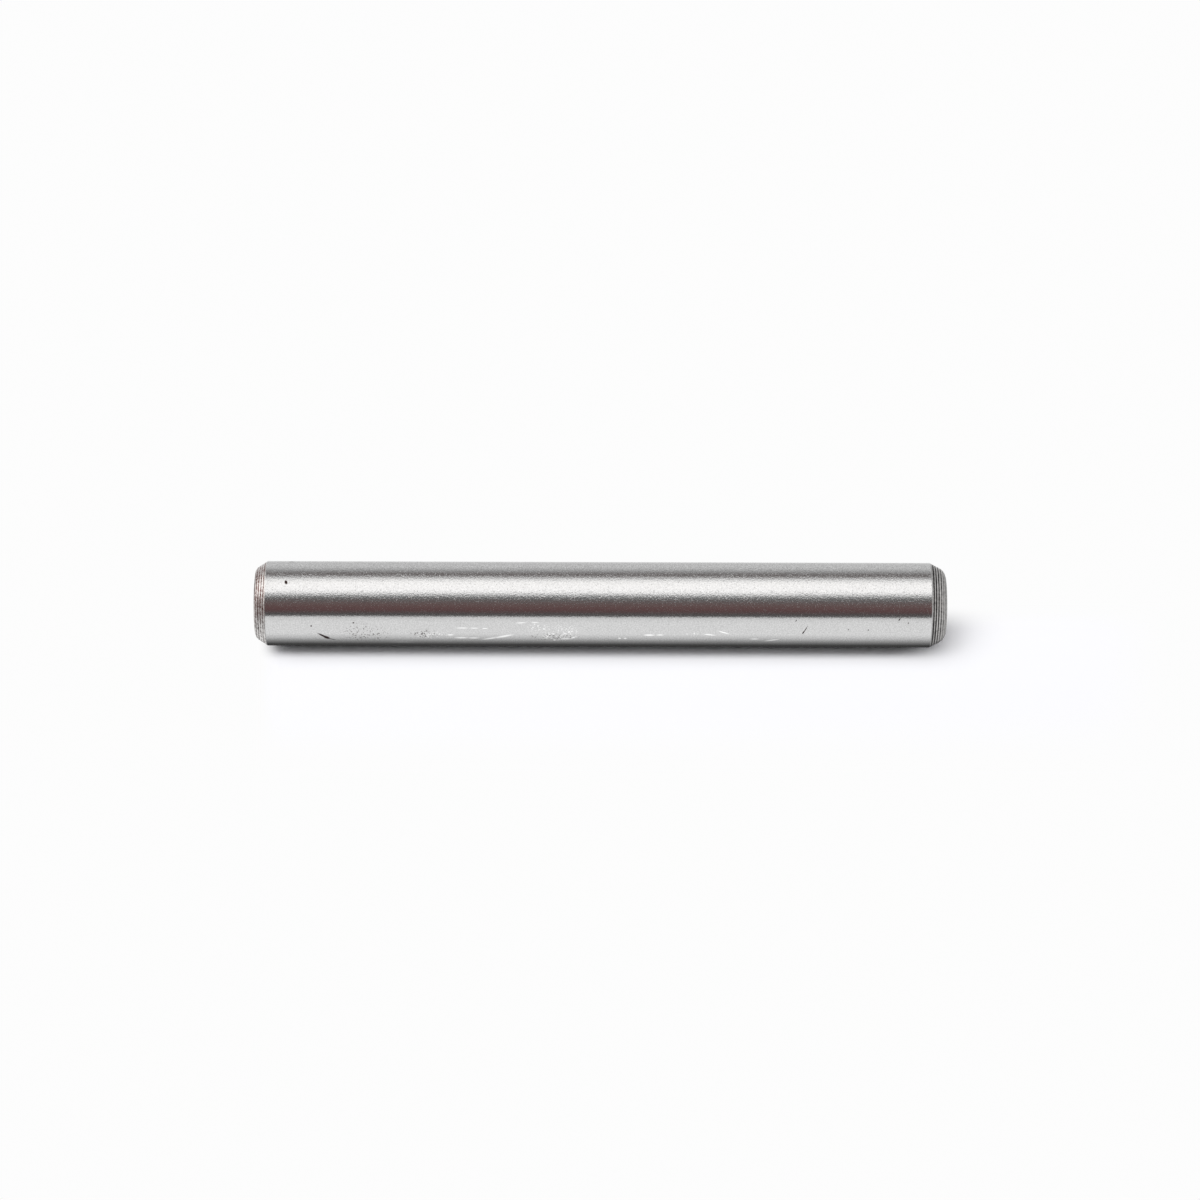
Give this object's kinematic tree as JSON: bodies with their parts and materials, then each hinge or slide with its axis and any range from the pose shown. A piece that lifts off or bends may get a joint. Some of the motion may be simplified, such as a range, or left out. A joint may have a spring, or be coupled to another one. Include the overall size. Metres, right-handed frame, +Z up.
{
  "type": "hammer pin",
  "caption": "Straight round steel pin with a chamfered end and a rounded end, ground along its cylinder, which carries or drives a hammer in an impact mechanism.",
  "frame": {"origin": "centre of the base end face, on which the pin stands", "axes": "+Z up the pin's axis, from the chamfered base end to the rounded nose end; X and Y are any two radii"},
  "size_m": [0.006, 0.006, 0.049],
  "materials": {
    "ground_steel": "hardened steel, ground bright along the cylinder; both ends left as turned"
  },
  "bodies": {
    "root": {"hammer_pin": "ground_steel"}
  },
  "joints": []
}
